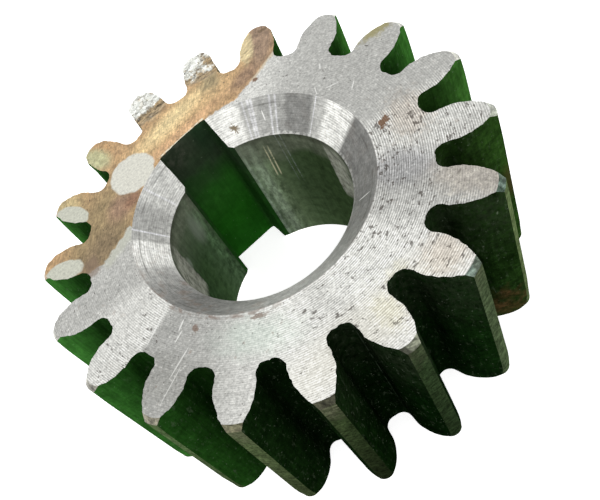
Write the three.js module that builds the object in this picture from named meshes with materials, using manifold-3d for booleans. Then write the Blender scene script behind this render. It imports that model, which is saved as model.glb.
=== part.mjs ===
// Spur gear, module 3 with 18 teeth: one piece of steel, turned to a blank, bored, chamfered,
// toothed and broached for a parallel key. Millimetres.
// The origin is on the bore axis at the back face. +Z runs along the bore to the front face,
// the one with the large bore chamfer. The keyway is on the +Y side, behind a tooth.
import * as THREE from 'three';
import { mergeVertices } from 'three/addons/utils/BufferGeometryUtils.js';
import loadManifold from 'manifold-3d';

// Gear data
const TOOTH_COUNT = 18;
const MODULE = 3;
const PRESSURE_ANGLE = THREE.MathUtils.degToRad(20);
const ADDENDUM = 3.2;
const DEDENDUM = 4.22;
const ROOT_FILLET = 1.4;
const BACKLASH_THINNING = 0.04;
const FACE_WIDTH = 26.4;

// Bore, keyway and edge breaks
const BORE_RADIUS = 12.5;
const FRONT_CHAMFER_RADIUS = 16.25;
const FRONT_CHAMFER_DEPTH = 3.55;
const BACK_CHAMFER = 1;
const TIP_CHAMFER = 0.65;
const KEYWAY_WIDTH = 8;
const KEYWAY_FLOOR = 16.1;
const KEYWAY_EDGE_BEVEL = 0.5;

// Fineness of the curved faces
const SEGMENTS_PER_PITCH = 8;
const FLANK_STEPS = 7;
const FILLET_STEPS = 5;
// Corners of neighbouring facets nearer to each other than this are one point
const WELD_DISTANCE = 1e-5;

// Worked out from the driving dimensions
const PITCH_RADIUS = MODULE * TOOTH_COUNT / 2;
const TIP_RADIUS = PITCH_RADIUS + ADDENDUM;
const ROOT_RADIUS = PITCH_RADIUS - DEDENDUM;
const BASE_RADIUS = PITCH_RADIUS * Math.cos(PRESSURE_ANGLE);
const HALF_PITCH_ANGLE = Math.PI / TOOTH_COUNT;
const KEYWAY_AZIMUTH = Math.PI / 2;
// The tooth and keyway cutters run past the blank's faces and rim by this much
const OVERRUN = 1;

const involute = (angle) => Math.tan(angle) - angle;

// Half the angle that a tooth fills at a radius. Below the base circle the flank is radial.
function halfToothAngle(radius) {
  const pressure = Math.acos(Math.min(1, BASE_RADIUS / radius));
  const halfAtPitch = HALF_PITCH_ANGLE / 2 - BACKLASH_THINNING / (2 * PITCH_RADIUS);
  return halfAtPitch + involute(PRESSURE_ANGLE) - involute(pressure);
}

// One side of a tooth, from the middle of the tooth space to the tip, as [radius, angle]
// pairs, where the angle is measured from the tooth's centre line.
function halfTooth() {
  const filletRadius = ROOT_RADIUS + ROOT_FILLET;
  const filletSpread = Math.asin(ROOT_FILLET / filletRadius);
  const filletAngle = halfToothAngle(BASE_RADIUS) + filletSpread;
  const centre = new THREE.Vector2(filletRadius, 0);
  const points = [[ROOT_RADIUS, HALF_PITCH_ANGLE]];
  for (let i = 0; i <= FILLET_STEPS; i += 1) {
    const turn = Math.PI + (Math.PI / 2 - filletSpread) * i / FILLET_STEPS;
    const spoke = new THREE.Vector2(Math.cos(turn), Math.sin(turn));
    const point = spoke.multiplyScalar(ROOT_FILLET).add(centre);
    points.push([point.length(), filletAngle + Math.atan2(point.y, point.x)]);
  }
  const tip = TIP_RADIUS + OVERRUN;
  for (let i = 0; i <= FLANK_STEPS; i += 1) {
    const radius = BASE_RADIUS + (tip - BASE_RADIUS) * i / FLANK_STEPS;
    points.push([radius, halfToothAngle(radius)]);
  }
  return points;
}

// The outline of all the teeth, counter-clockwise, with a tooth centred on the keyway
function toothedOutline() {
  const rising = halfTooth();
  const shape = [];
  const add = (radius, angle) => {
    shape.push(new THREE.Vector2(radius * Math.cos(angle), radius * Math.sin(angle)));
  };
  for (let tooth = 0; tooth < TOOTH_COUNT; tooth += 1) {
    const middle = KEYWAY_AZIMUTH + tooth * 2 * HALF_PITCH_ANGLE;
    rising.forEach(([radius, angle]) => add(radius, middle - angle));
    rising.slice(1).reverse().forEach(([radius, angle]) => add(radius, middle + angle));
  }
  return new THREE.Shape(shape);
}

// A prism through the whole face width and a little past both faces
function throughPrism(shape) {
  const depth = FACE_WIDTH + 2 * OVERRUN;
  const prism = new THREE.ExtrudeGeometry(shape, { depth, bevelEnabled: false });
  return prism.translate(0, 0, -OVERRUN);
}

// The turned blank: a ring with the bore, its two chamfers and the broken tip edges
function turnedBlank() {
  const profile = [
    [BORE_RADIUS, BACK_CHAMFER],
    [BORE_RADIUS + BACK_CHAMFER, 0],
    [TIP_RADIUS - TIP_CHAMFER, 0],
    [TIP_RADIUS, TIP_CHAMFER],
    [TIP_RADIUS, FACE_WIDTH - TIP_CHAMFER],
    [TIP_RADIUS - TIP_CHAMFER, FACE_WIDTH],
    [FRONT_CHAMFER_RADIUS, FACE_WIDTH],
    [BORE_RADIUS, FACE_WIDTH - FRONT_CHAMFER_DEPTH],
    [BORE_RADIUS, BACK_CHAMFER],
  ];
  const points = profile.map(([radius, height]) => new THREE.Vector2(radius, height));
  const blank = new THREE.LatheGeometry(points, TOOTH_COUNT * SEGMENTS_PER_PITCH);
  return blank.rotateX(Math.PI / 2);
}

// The broached slot. It starts inside the bore, and its two edges with the bore are bevelled.
function keywayOutline() {
  const half = KEYWAY_WIDTH / 2;
  const wide = half + KEYWAY_EDGE_BEVEL;
  const bevelStart = Math.sqrt(BORE_RADIUS ** 2 - wide ** 2);
  const side = [
    [wide, 0],
    [wide, bevelStart],
    [half, bevelStart + KEYWAY_EDGE_BEVEL],
    [half, KEYWAY_FLOOR],
  ];
  const right = side.map(([x, y]) => new THREE.Vector2(x, y));
  const left = side.map(([x, y]) => new THREE.Vector2(-x, y)).reverse();
  return new THREE.Shape([...right, ...left]);
}

const wasm = await loadManifold();
wasm.setup();

function toSolid(geometry) {
  const bare = geometry.index ? geometry.toNonIndexed() : geometry.clone();
  bare.deleteAttribute('normal');
  bare.deleteAttribute('uv');
  const merged = mergeVertices(bare, WELD_DISTANCE);
  const vertProperties = new Float32Array(merged.attributes.position.array);
  const triVerts = new Uint32Array(merged.index.array);
  return new wasm.Manifold(new wasm.Mesh({ numProp: 3, vertProperties, triVerts }));
}

function toGeometry(solid) {
  const { vertProperties, triVerts } = solid.getMesh();
  const geometry = new THREE.BufferGeometry();
  geometry.setAttribute('position', new THREE.BufferAttribute(vertProperties, 3));
  geometry.setIndex(new THREE.BufferAttribute(triVerts, 1));
  geometry.computeVertexNormals();
  return geometry;
}

const toothed = toSolid(turnedBlank()).intersect(toSolid(throughPrism(toothedOutline())));
const finished = toothed.subtract(toSolid(throughPrism(keywayOutline())));

const steel = new THREE.MeshStandardMaterial({ color: 0xb9bab6, roughness: 0.38, metalness: 1 });
const gear = new THREE.Mesh(toGeometry(finished), steel);
gear.name = 'gear';

const part = new THREE.Group();
part.add(gear);

export default part;
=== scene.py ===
"""Spur gear in turned, hobbed and broached steel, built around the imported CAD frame.

Lengths in the gear's own data are millimetres, and MM turns them into Blender's metres.
The frame has its origin on the bore axis at the back face, +Z to the front face and +Y to the
keyway. Angles round the axis run from +X towards +Y.
"""
import math

import bmesh
import bpy
from mathutils import Matrix, Vector, noise


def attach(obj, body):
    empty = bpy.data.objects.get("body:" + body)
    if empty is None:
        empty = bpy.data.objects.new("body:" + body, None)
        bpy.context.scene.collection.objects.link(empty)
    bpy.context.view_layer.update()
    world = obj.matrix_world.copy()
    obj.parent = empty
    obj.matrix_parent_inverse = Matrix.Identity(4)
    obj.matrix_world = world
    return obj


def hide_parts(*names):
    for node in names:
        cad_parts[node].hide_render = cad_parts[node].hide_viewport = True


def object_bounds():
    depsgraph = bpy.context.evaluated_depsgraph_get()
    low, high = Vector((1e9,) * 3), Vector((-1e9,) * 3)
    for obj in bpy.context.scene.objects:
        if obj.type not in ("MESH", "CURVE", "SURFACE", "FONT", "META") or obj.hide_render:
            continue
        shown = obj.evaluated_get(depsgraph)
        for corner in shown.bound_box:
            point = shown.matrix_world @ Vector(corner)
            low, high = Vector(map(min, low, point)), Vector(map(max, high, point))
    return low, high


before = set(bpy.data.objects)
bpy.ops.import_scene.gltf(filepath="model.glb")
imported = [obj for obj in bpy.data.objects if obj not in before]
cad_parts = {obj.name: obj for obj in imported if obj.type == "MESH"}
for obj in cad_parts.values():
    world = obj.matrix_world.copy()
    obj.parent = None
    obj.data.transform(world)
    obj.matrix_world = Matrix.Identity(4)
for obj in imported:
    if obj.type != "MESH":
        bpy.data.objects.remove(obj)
cad_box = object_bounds()

MM = 0.001

# Gear data, the same as the CAD part
TOOTH_COUNT = 18
PITCH_RADIUS = 27.0
PRESSURE_ANGLE = math.radians(20)
BASE_RADIUS = PITCH_RADIUS * math.cos(PRESSURE_ANGLE)
ROOT_RADIUS = 22.78
ROOT_FILLET = 1.4
BACKLASH_THINNING = 0.04
TIP_RADIUS = cad_box[1].y / MM
FACE_WIDTH = cad_box[1].z / MM
TIP_CHAMFER = 0.65
TIP_FLAT_RADIUS = TIP_RADIUS - TIP_CHAMFER
BORE_RADIUS = 12.5
FRONT_CHAMFER_RADIUS = 16.25
FRONT_CHAMFER_DEPTH = 3.55
BACK_CHAMFER = 1.0
KEYWAY_HALF_WIDTH = 4.0
KEYWAY_FLOOR = 16.1
KEYWAY_EDGE_BEVEL = 0.5
KEYWAY_CORNER_RADIUS = 0.4
BEVEL_FOOT = (
    KEYWAY_HALF_WIDTH + KEYWAY_EDGE_BEVEL,
    math.sqrt(BORE_RADIUS ** 2 - (KEYWAY_HALF_WIDTH + KEYWAY_EDGE_BEVEL) ** 2),
)
BEVEL_TOP_RADIUS = math.hypot(KEYWAY_HALF_WIDTH, BEVEL_FOOT[1] + KEYWAY_EDGE_BEVEL)
HALF_PITCH_ANGLE = math.pi / TOOTH_COUNT
KEYWAY_AZIMUTH = math.pi / 2

# Steps of the fine mesh
FLANK_STEPS, ROUGH_FLANK_STEPS = 24, 44
TIP_STEPS, ROUGH_TIP_STEPS = 6, 20
ROOT_STEPS = 5
FILLET_STEPS = 8
KEYWAY_SIDE_STEPS = 14
KEYWAY_FLOOR_STEPS = 16
BORE_ARC_STEPS = 160
FACE_RINGS = (17.4, 19.2, 21.0)

# Teeth with a rough front end, counted round from the keyway's tooth
ROUGH_TEETH = {0: 1.0, 17: 1.0, 1: 0.35}
ROUGH_HALF_WIDTH = 2.25
EDGE_BREAK = 0.05
BURR = 0.1
SHARP_ANGLE = math.radians(16)

# How round the tooth tips are worn at the front, 1 for most teeth; the crisper ones by place
CRISPER_TIPS = {6: 0.6, 7: 0.2, 8: 0.15, 9: 0.7, 10: 0.2, 11: 0.4}
BACK_TIP_WEAR = 1.0
TIP_WEAR_ROUND = 2.05
BACK_TIP_WEAR_ROUND = 1.15
TIP_WEAR_LENGTH = 1.7
BACK_TIP_WEAR_LENGTH = 2.4
TIP_WEAR_DEPTH = 4.0


# ---------------------------------------------------------------- gear outline

def steps(start, end, count):
    """count + 1 values from start to end."""
    return [start + (end - start) * i / count for i in range(count + 1)]


def polar(radius, angle):
    return radius * math.cos(angle), radius * math.sin(angle)


def involute(angle):
    return math.tan(angle) - angle


def half_tooth_angle(radius):
    """Half the angle that a tooth fills at a radius. Below the base circle it is constant."""
    pressure = math.acos(min(1.0, BASE_RADIUS / radius))
    half_at_pitch = HALF_PITCH_ANGLE / 2 - BACKLASH_THINNING / (2 * PITCH_RADIUS)
    return half_at_pitch + involute(PRESSURE_ANGLE) - involute(pressure)


def fillet_points():
    """The root fillet as (radius, angle), from the root circle to the foot of the flank."""
    centre_radius = ROOT_RADIUS + ROOT_FILLET
    spread = math.asin(ROOT_FILLET / centre_radius)
    middle = half_tooth_angle(BASE_RADIUS) + spread
    points = []
    for turn in steps(math.pi, 1.5 * math.pi - spread, FILLET_STEPS):
        x = centre_radius + ROOT_FILLET * math.cos(turn)
        y = ROOT_FILLET * math.sin(turn)
        points.append((math.hypot(x, y), middle + math.atan2(y, x)))
    return points


class Tooth:
    """The points of one tooth, as (radius, angle from the tooth's centre line).

    root runs from the middle of the tooth space to the fillet, rows from the fillet's foot up
    the flank to the tip chamfer, and tip across the tooth's land.
    """

    def __init__(self, place):
        rough = place in ROUGH_TEETH
        self.middle = KEYWAY_AZIMUTH + place * 2 * HALF_PITCH_ANGLE
        fillet = fillet_points()
        flank_radii = steps(
            fillet[-1][0], TIP_FLAT_RADIUS, ROUGH_FLANK_STEPS if rough else FLANK_STEPS
        )
        self.rows = fillet + [(r, half_tooth_angle(r)) for r in flank_radii[1:]]
        root_angles = steps(HALF_PITCH_ANGLE, fillet[0][1], ROOT_STEPS)
        self.root = [(ROOT_RADIUS, a) for a in root_angles[:-1]]
        tip_half = half_tooth_angle(TIP_RADIUS)
        tip_steps = ROUGH_TIP_STEPS if rough else TIP_STEPS
        self.tip = [(TIP_RADIUS, a) for a in steps(-tip_half, tip_half, tip_steps)]
        side = self.root + self.rows
        self.columns = [(r, -a) for r, a in side] + self.tip + [(r, a) for r, a in reversed(side)]
        # The last column is the next tooth's first
        self.columns.pop()


def toothed_points(teeth, rim):
    """The toothed outline, cut off at the rim radius."""
    return [polar(min(r, rim), tooth.middle + a) for tooth in teeth for r, a in tooth.columns]


def keyway_edge(radius):
    """Where the keyway's bevel or, above it, the keyway's side meets a circle round the axis."""
    along_bevel = BEVEL_FOOT[0] + BEVEL_FOOT[1]
    if radius < BEVEL_TOP_RADIUS:
        across = (along_bevel - math.sqrt(2 * radius ** 2 - along_bevel ** 2)) / 2
        return across, along_bevel - across
    return KEYWAY_HALF_WIDTH, math.sqrt(radius ** 2 - KEYWAY_HALF_WIDTH ** 2)


def round_keyway_corner(x, y):
    """Moves a point of the keyway's outline on to the small arc in the nearest corner."""
    from_side, from_floor = KEYWAY_HALF_WIDTH - abs(x), KEYWAY_FLOOR - y
    share = 1 - max(from_side, from_floor) / KEYWAY_CORNER_RADIUS
    if share <= 0:
        return x, y
    turn = math.radians(45) * (share if from_side < from_floor else 2 - share)
    across = KEYWAY_HALF_WIDTH - KEYWAY_CORNER_RADIUS * (1 - math.cos(turn))
    return math.copysign(across, x), KEYWAY_FLOOR - KEYWAY_CORNER_RADIUS * (1 - math.sin(turn))


def bore_points(radius):
    """The bore and keyway for one bore radius, counter-clockwise from the keyway's right edge."""
    edge = keyway_edge(radius)
    foot = max(BEVEL_FOOT[1] + KEYWAY_EDGE_BEVEL, edge[1] + 0.15)
    side = [(KEYWAY_HALF_WIDTH, y) for y in steps(foot, KEYWAY_FLOOR, KEYWAY_SIDE_STEPS)]
    across = steps(KEYWAY_HALF_WIDTH, -KEYWAY_HALF_WIDTH, KEYWAY_FLOOR_STEPS)[1:-1]
    walls = side + [(x, KEYWAY_FLOOR) for x in across] + [(-x, y) for x, y in reversed(side)]
    slot = [edge]
    for x, y in walls:
        x, y = round_keyway_corner(x, y)
        slot.append((x, max(y, math.sqrt(max(radius ** 2 - x ** 2, 0)))))
    slot.append((-edge[0], edge[1]))
    angle = math.atan2(edge[1], edge[0])
    arc = [polar(radius, a) for a in steps(math.pi - angle, 2 * math.pi + angle, BORE_ARC_STEPS)]
    return slot + arc[1:-1]


# ---------------------------------------------------------------- gear mesh

SURFACES = (
    "front_face", "bore_chamfer", "bore_wall", "keyway", "flank", "land", "tip_chamfer", "back_face"
)


class Solid:
    """A closed mesh, made from loops of points in millimetres."""

    def __init__(self):
        self.mesh = bmesh.new()

    def vertex(self, x, y, z):
        return self.mesh.verts.new((x * MM, y * MM, z * MM))

    def loop(self, points, z):
        return [self.vertex(x, y, z) for x, y in points]

    def face(self, corners, surface):
        self.mesh.faces.new(corners).material_index = SURFACES.index(surface)

    def skin(self, lower, upper, surface_of):
        """Quads between two closed loops with the same number of vertices."""
        count = len(lower)
        for i in range(count):
            j = (i + 1) % count
            self.face((lower[i], lower[j], upper[j], upper[i]), surface_of(i))

    def fill_ring(self, inner, outer, surface):
        """Triangles between two closed loops that both run once round the axis."""
        def angle(vertex):
            return math.atan2(vertex.co.y, vertex.co.x) % (2 * math.pi)

        def opened(loop):
            first = min(range(len(loop)), key=lambda i: angle(loop[i]))
            turned = loop[first:] + loop[:first]
            angles = [angle(v) for v in turned]
            return turned + turned[:1], angles + [angles[0] + 2 * math.pi]

        a, a_angles = opened(inner)
        b, b_angles = opened(outer)
        i = j = 0
        while i < len(a) - 1 or j < len(b) - 1:
            if j == len(b) - 1 or (i < len(a) - 1 and a_angles[i + 1] <= b_angles[j + 1]):
                self.face((a[i], b[j], a[i + 1]), surface)
                i += 1
            else:
                self.face((a[i], b[j], b[j + 1]), surface)
                j += 1


def wall_surfaces(teeth):
    """The surface that starts at each column of the toothed wall.

    rising and falling are the two strips where a flank meets the land, and hold a corner of
    the tip chamfer at each end.
    """
    surfaces = []
    for tooth in teeth:
        side = ["flank"] * (len(tooth.root) + len(tooth.rows) - 1)
        surfaces += side + ["rising"] + ["land"] * (len(tooth.tip) - 1) + ["falling"] + side
    return surfaces


def add_toothed_wall(solid, teeth):
    """The tooth flanks, roots, lands and tip chamfers. Returns the loops at the two faces."""
    heights = [0.0] + steps(TIP_CHAMFER, FACE_WIDTH - 3, 12)
    heights += steps(FACE_WIDTH - 3, FACE_WIDTH - TIP_CHAMFER, 8)[1:] + [FACE_WIDTH]
    loops = []
    for z in heights:
        rim = TIP_FLAT_RADIUS if z in (heights[0], heights[-1]) else TIP_RADIUS
        loops.append(solid.loop(toothed_points(teeth, rim), z))
    surfaces = wall_surfaces(teeth)
    for level in range(len(loops) - 1):
        lower, upper = loops[level], loops[level + 1]
        at_back, at_front = level == 0, level == len(loops) - 2
        for i, surface in enumerate(surfaces):
            j = (i + 1) % len(surfaces)
            a, b, c, d = lower[i], lower[j], upper[j], upper[i]
            if surface == "flank" or not (at_back or at_front):
                solid.face((a, b, c, d), "land" if surface == "land" else "flank")
            elif surface == "land":
                solid.face((a, b, c, d), "tip_chamfer")
            elif at_front == (surface == "rising"):
                # The chamfer's corner runs from d to b
                solid.face((a, b, d), "flank" if at_front else "tip_chamfer")
                solid.face((b, c, d), "tip_chamfer" if at_front else "flank")
            else:
                # The chamfer's corner runs from a to c
                solid.face((a, b, c), "flank" if at_front else "tip_chamfer")
                solid.face((a, c, d), "tip_chamfer" if at_front else "flank")
    return loops[0], loops[-1]


def add_end_face(solid, teeth, wall, bore, z, surface):
    """A flat face: a grid on each tooth's end, then rings in to the bore."""
    ring, start = [], 0
    for tooth in teeth:
        root_count, row_count, tip_count = len(tooth.root), len(tooth.rows), len(tooth.tip)
        rise = start + root_count
        fall = rise + 2 * row_count + tip_count - 1
        top_angle = tooth.rows[-1][1]
        shares = [a / top_angle for _, a in tooth.tip]
        grid = []
        for k, (radius, angle) in enumerate(tooth.rows[:-1]):
            inside = [polar(radius, tooth.middle + share * angle) for share in shares]
            grid.append([wall[rise + k]] + solid.loop(inside, z) + [wall[fall - k]])
        grid.append(wall[rise + row_count - 1:rise + row_count + tip_count + 1])
        for inner, outer in zip(grid, grid[1:]):
            for j in range(len(inner) - 1):
                solid.face((inner[j], outer[j], outer[j + 1], inner[j + 1]), surface)
        ring += wall[start:rise] + grid[0] + wall[fall + 1:fall + root_count]
        start += len(tooth.columns)
    for radius in reversed(FACE_RINGS):
        angles = [math.atan2(v.co.y, v.co.x) for v in ring]
        inner_ring = solid.loop([polar(radius, a) for a in angles], z)
        solid.skin(ring, inner_ring, lambda i: surface)
        ring = inner_ring
    solid.fill_ring(bore, ring, surface)


def add_bore(solid):
    """The bore wall, its two chamfers and the keyway. Returns the loops at the two faces."""
    chamfer_foot = FACE_WIDTH - FRONT_CHAMFER_DEPTH
    levels = [(0.0, BORE_RADIUS + BACK_CHAMFER)]
    levels += [(z, BORE_RADIUS) for z in steps(BACK_CHAMFER, chamfer_foot, 8)]
    slope = FRONT_CHAMFER_DEPTH / (FRONT_CHAMFER_RADIUS - BORE_RADIUS)
    cone_radii = steps(BEVEL_TOP_RADIUS, FRONT_CHAMFER_RADIUS, 8)
    levels += [(FACE_WIDTH - slope * (FRONT_CHAMFER_RADIUS - r), r) for r in cone_radii]
    keyway_columns = 2 * (KEYWAY_SIDE_STEPS + 1) + KEYWAY_FLOOR_STEPS
    loops = [solid.loop(bore_points(radius), z) for z, radius in levels]
    for (z, radius), lower, upper in zip(levels, loops, loops[1:]):
        turned = "bore_wall" if BACK_CHAMFER <= z < chamfer_foot else "bore_chamfer"
        solid.skin(lower, upper, lambda i: "keyway" if i < keyway_columns else turned)
    return loops[0], loops[-1]


def break_edges(mesh):
    """Rounds every sharp edge a little, as a deburred part has them."""
    sharp = [e for e in mesh.edges if e.calc_face_angle(0) > math.radians(30)]
    bmesh.ops.bevel(
        mesh, geom=sharp, offset=EDGE_BREAK * MM, offset_type="OFFSET", segments=2,
        profile=0.5, affect="EDGES", clamp_overlap=True, material=-1,
    )


def nearest_place(x, y):
    return round((math.atan2(y, x) - KEYWAY_AZIMUTH) / (2 * HALF_PITCH_ANGLE)) % TOOTH_COUNT


def wear_tooth_tips(mesh):
    """Rounds the corners between flanks and land, most at the two faces."""
    half_land = TIP_RADIUS * math.sin(half_tooth_angle(TIP_RADIUS))
    for vertex in mesh.verts:
        x, y, z = (c / MM for c in vertex.co)
        from_face = min(z, FACE_WIDTH - z)
        if math.hypot(x, y) < TIP_FLAT_RADIUS - BACK_TIP_WEAR_LENGTH or from_face > TIP_WEAR_DEPTH:
            continue
        at_front = z > FACE_WIDTH / 2
        place = nearest_place(x, y)
        middle = KEYWAY_AZIMUTH + place * 2 * HALF_PITCH_ANGLE
        outward = x * math.cos(middle) + y * math.sin(middle)
        aside = abs(y * math.cos(middle) - x * math.sin(middle))
        rim = TIP_FLAT_RADIUS + min(from_face, TIP_CHAMFER)
        length = TIP_WEAR_LENGTH if at_front else BACK_TIP_WEAR_LENGTH
        share = max(0, (outward - rim + length) / length) ** 2
        wear = CRISPER_TIPS.get(place, 1) if at_front else BACK_TIP_WEAR
        wear *= (1 - from_face / TIP_WEAR_DEPTH) ** 1.5
        rounding = TIP_WEAR_ROUND if at_front else BACK_TIP_WEAR_ROUND
        aside = min(aside, rounding if at_front else half_land)
        drop = rounding - math.sqrt(rounding ** 2 - aside ** 2)
        drop *= share * wear
        vertex.co.x -= drop * math.cos(middle) * MM
        vertex.co.y -= drop * math.sin(middle) * MM


def burr_walls(mesh):
    """Makes the hobbed and broached walls slightly uneven, so that their edges are ragged."""
    for vertex in mesh.verts:
        x, y, z = (c / MM for c in vertex.co)
        radius = math.hypot(x, y)
        in_teeth = min(1, max(0, radius - 21.6)) * min(1, max(0, (TIP_RADIUS - 0.3 - radius) / 1.5))
        in_keyway = 1 if abs(x) < 4.6 and 11 < y < 17 else 0
        shift = noise.noise_vector(Vector((x * 1.1, y * 1.1, z * 0.2)))
        shift += noise.noise_vector(Vector((x * 2.7, y * 2.7, z * 0.8)))
        near_front = max(0, 1 - (FACE_WIDTH - z) / 3)
        reach = BURR * (0.15 + 0.85 * near_front) * max(in_teeth, in_keyway) * MM
        vertex.co.x += shift.x * reach
        vertex.co.y += shift.y * reach


def roughen_tooth_ends(mesh):
    """Crumples the front ends of the rough teeth and gives them straight sides."""
    start_radius, full_radius = 23.6, 25.4
    reach, depth = 2.2, 0.55
    for vertex in mesh.verts:
        x, y, z = (c / MM for c in vertex.co)
        radius, below = math.hypot(x, y), FACE_WIDTH - z
        if radius < start_radius or below > reach:
            continue
        place = nearest_place(x, y)
        if place not in ROUGH_TEETH:
            continue
        amount = ROUGH_TEETH[place] * min(1, (radius - start_radius) / (full_radius - start_radius))
        amount *= 1 - below / reach
        spot = Vector((x, y, z))
        lumps = 0.5 + 0.5 * noise.noise(spot * 0.9 + Vector((0, 0, 7)))
        crumple = abs(noise.noise(spot * 2.1)) + 0.5 * abs(noise.noise(spot * 4.7))
        grain = 0.5 + 0.5 * noise.noise(spot * 9.0)
        sink = depth * amount * (0.35 * lumps + 0.9 * crumple + 0.12 * grain)
        middle = KEYWAY_AZIMUTH + place * 2 * HALF_PITCH_ANGLE
        outward = x * math.cos(middle) + y * math.sin(middle)
        aside = y * math.cos(middle) - x * math.sin(middle)
        straight = ROUGH_HALF_WIDTH / (radius * math.sin(half_tooth_angle(min(radius, TIP_RADIUS))))
        aside *= 1 + amount * (min(max(straight, 0.96), 1.25) - 1)
        x = outward * math.cos(middle) - aside * math.sin(middle)
        y = outward * math.sin(middle) + aside * math.cos(middle)
        vertex.co = (x * MM, y * MM, (z - sink) * MM)


def build_gear():
    solid = Solid()
    teeth = [Tooth(place) for place in range(TOOTH_COUNT)]
    wall_back, wall_front = add_toothed_wall(solid, teeth)
    bore_back, bore_front = add_bore(solid)
    add_end_face(solid, teeth, wall_front, bore_front, FACE_WIDTH, "front_face")
    add_end_face(solid, teeth, wall_back, bore_back, 0.0, "back_face")
    mesh = solid.mesh
    bmesh.ops.recalc_face_normals(mesh, faces=mesh.faces)
    break_edges(mesh)
    wear_tooth_tips(mesh)
    burr_walls(mesh)
    roughen_tooth_ends(mesh)
    data = bpy.data.meshes.new("machined_gear")
    mesh.to_mesh(data)
    mesh.free()
    data.shade_smooth()
    data.set_sharp_from_angle(angle=SHARP_ANGLE)
    gear = bpy.data.objects.new("machined_gear", data)
    bpy.context.scene.collection.objects.link(gear)
    return gear


# ---------------------------------------------------------------- material nodes

class Nodes:
    """A material's node tree. Sockets and plain values can be mixed freely in its calls."""

    def __init__(self, name):
        self.material = bpy.data.materials.new(name)
        self.material.use_nodes = True
        self.tree = self.material.node_tree
        self.shader = self.tree.nodes["Principled BSDF"]

    def feed(self, socket, value):
        if isinstance(value, bpy.types.NodeSocket):
            self.tree.links.new(value, socket)
        else:
            socket.default_value = value

    def add(self, kind, output=0, inputs=None, **settings):
        node = self.tree.nodes.new("ShaderNode" + kind)
        for name, value in settings.items():
            setattr(node, name, value)
        for name, value in (inputs or {}).items():
            self.feed(node.inputs[name], value)
        return node.outputs[output]

    def maths(self, operation, *values, clamp=False):
        inputs = dict(enumerate(values))
        return self.add("Math", inputs=inputs, operation=operation, use_clamp=clamp)

    def times(self, a, b):
        return self.maths("MULTIPLY", a, b)

    def plus(self, a, b):
        return self.maths("ADD", a, b)

    def larger(self, a, b):
        return self.maths("MAXIMUM", a, b)

    def away_from(self, value, middle):
        """How far a value is from a middle one, without a sign."""
        return self.maths("ABSOLUTE", self.maths("SUBTRACT", value, middle))

    def combine(self, x, y, z):
        return self.add("CombineXYZ", inputs={"X": x, "Y": y, "Z": z})

    def noise(self, vector, scale=1.0, detail=2.0, roughness=0.5):
        inputs = {"Vector": vector, "Scale": scale, "Detail": detail, "Roughness": roughness}
        return self.add("TexNoise", inputs=inputs)

    def ease(self, value, low, high, out_low=0.0, out_high=1.0):
        """Goes smoothly from out_low to out_high as value goes from low to high."""
        inputs = {
            "Value": value, "From Min": low, "From Max": high, "To Min": out_low, "To Max": out_high
        }
        return self.add("MapRange", inputs=inputs, interpolation_type="SMOOTHSTEP")

    def mix(self, share, a, b, blend="MIX"):
        inputs = {0: share, 6: a, 7: b}
        return self.add("Mix", output=2, inputs=inputs, data_type="RGBA", blend_type=blend)

    def paint(self, colour, mask, tone, share):
        """The colour with a share of a tone laid over it inside the mask."""
        return self.mix(self.times(mask, share), colour, tone)

    def grey(self, value):
        return self.add("CombineColor", inputs={0: value, 1: value, 2: value})

    def tint(self, colour, value):
        """The colour times a grey value."""
        return self.mix(1.0, colour, self.grey(value), "MULTIPLY")

    def ramp(self, value, stops, interpolation="LINEAR"):
        """A colour ramp through (place, grey or colour) stops."""
        ramp = self.tree.nodes.new("ShaderNodeValToRGB")
        ramp.color_ramp.interpolation = interpolation
        elements = ramp.color_ramp.elements
        for i, (place, colour) in enumerate(stops):
            element = elements[i] if i < 2 else elements.new(place)
            element.position = place
            element.color = (*colour[:3], 1) if isinstance(colour, tuple) else (*[colour] * 3, 1)
        self.feed(ramp.inputs[0], value)
        return ramp.outputs[0]

    def finish(self, colour, roughness, height=None, lift=0.02, metallic=None, **uniform):
        self.feed(self.shader.inputs["Base Color"], colour)
        self.feed(self.shader.inputs["Roughness"], roughness)
        if metallic is not None:
            self.feed(self.shader.inputs["Metallic"], metallic)
        if height is not None:
            bump = self.add("Bump", inputs={"Height": height, "Distance": lift * MM})
            self.feed(self.shader.inputs["Normal"], bump)
        for name, value in uniform.items():
            self.shader.inputs[name.replace("_", " ")].default_value = value
        return self.material


class Place:
    """Where a shaded point is on the gear, in millimetres and degrees, as node sockets."""

    def __init__(self, nodes):
        self.nodes = nodes
        position = nodes.add("TexCoord", output="Object")
        self.point = nodes.add(
            "VectorMath", inputs={0: position, "Scale": 1 / MM}, operation="SCALE"
        )
        split = nodes.tree.nodes.new("ShaderNodeSeparateXYZ")
        nodes.feed(split.inputs[0], self.point)
        self.x, self.y, self.z = split.outputs
        flat = nodes.combine(self.x, self.y, 0.0)
        self.radius = nodes.add("VectorMath", output="Value", inputs={0: flat}, operation="LENGTH")
        self.cosine = nodes.maths("DIVIDE", self.x, self.radius)
        self.sine = nodes.maths("DIVIDE", self.y, self.radius)
        turned = nodes.maths("ARCTAN2", self.y, self.x)
        self.degrees = nodes.maths("DEGREES", turned)

    def rings(self, per_mm, round_the_axis, along=0.0):
        """Noise coordinates that run in rings round the axis: fine across, long around."""
        nodes = self.nodes
        return nodes.combine(
            nodes.maths(
                "MULTIPLY_ADD", self.radius, per_mm, nodes.maths("MULTIPLY", self.z, along)
            ),
            nodes.maths("MULTIPLY", self.cosine, round_the_axis),
            nodes.maths("MULTIPLY", self.sine, round_the_axis),
        )

    def turn(self):
        """The share of a full turn from the side opposite the keyway, 0 to 1."""
        nodes = self.nodes
        return nodes.maths("FRACT", nodes.maths("MULTIPLY_ADD", self.degrees, 1 / 360, 1.25))


# ---------------------------------------------------------------- materials

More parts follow.
